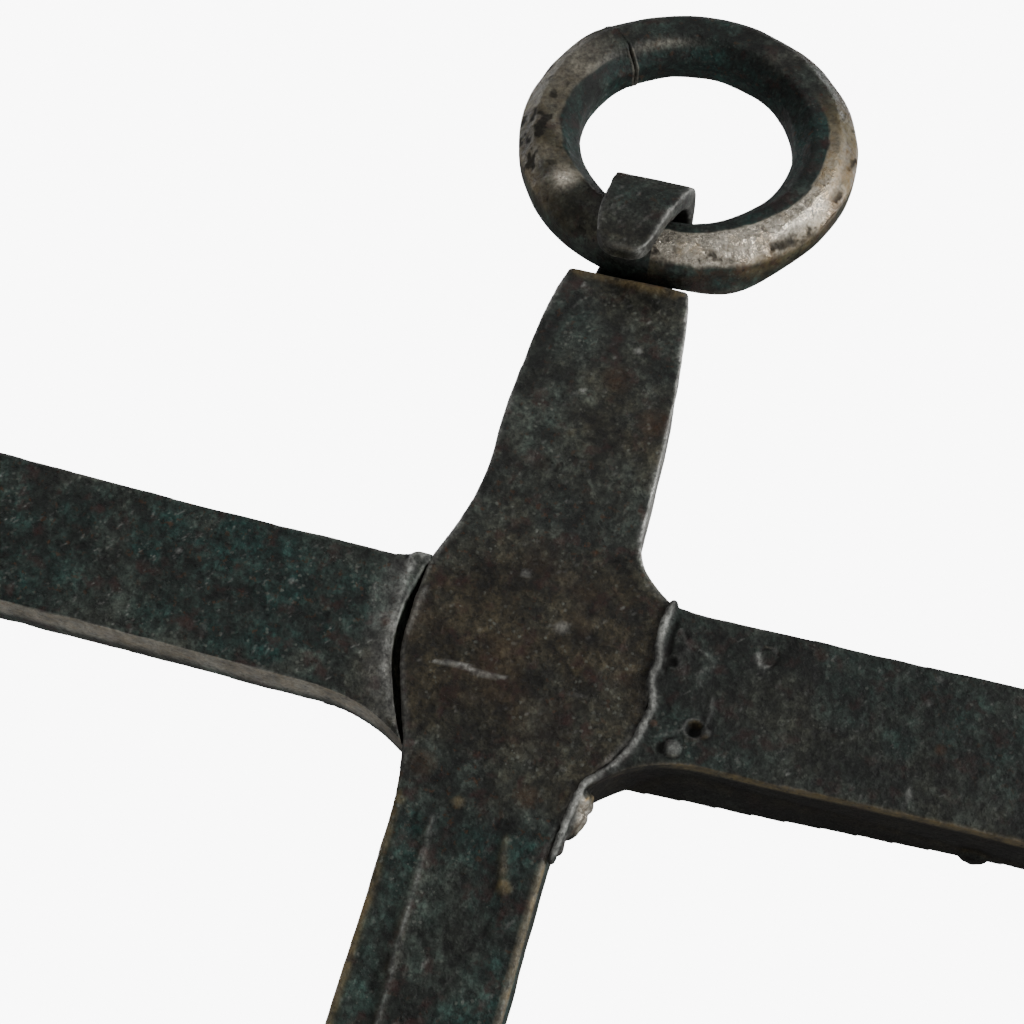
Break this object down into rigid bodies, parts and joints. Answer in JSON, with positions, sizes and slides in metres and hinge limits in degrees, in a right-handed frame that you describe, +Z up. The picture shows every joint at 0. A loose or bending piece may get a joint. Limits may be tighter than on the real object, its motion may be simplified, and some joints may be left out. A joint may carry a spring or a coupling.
{
  "type": "wrought iron cross with hanging ring",
  "caption": "Forged flat-bar Latin cross that hangs by a rolled eye from a heavy hammered iron ring.",
  "frame": {"origin": "the ring's inner top, where a hook or nail carries it", "axes": "+X to the right seen from the front, -Y towards the front, +Z up; the cross hangs below the origin"},
  "size_m": [0.33, 0.0345, 0.5211],
  "materials": {
    "forged_iron": "blackened and hammered, with a mottled grey-green and brown patina and worn arrises",
    "worn_ring_iron": "hammered, blue-black inside and worn to bare greyish metal with rust pits outside"
  },
  "bodies": {
    "ring": {"ring": "worn_ring_iron"},
    "cross": {"upright": "forged_iron", "left_arm": "forged_iron", "right_arm": "forged_iron"}
  },
  "joints": [
    {"name": "cross_swing", "type": "hinge", "parent": "ring", "child": "cross", "pos_m": [0, -0.00424, -0.06939], "axis": [1, 0, 0], "range_deg": [-120, 70]}
  ]
}
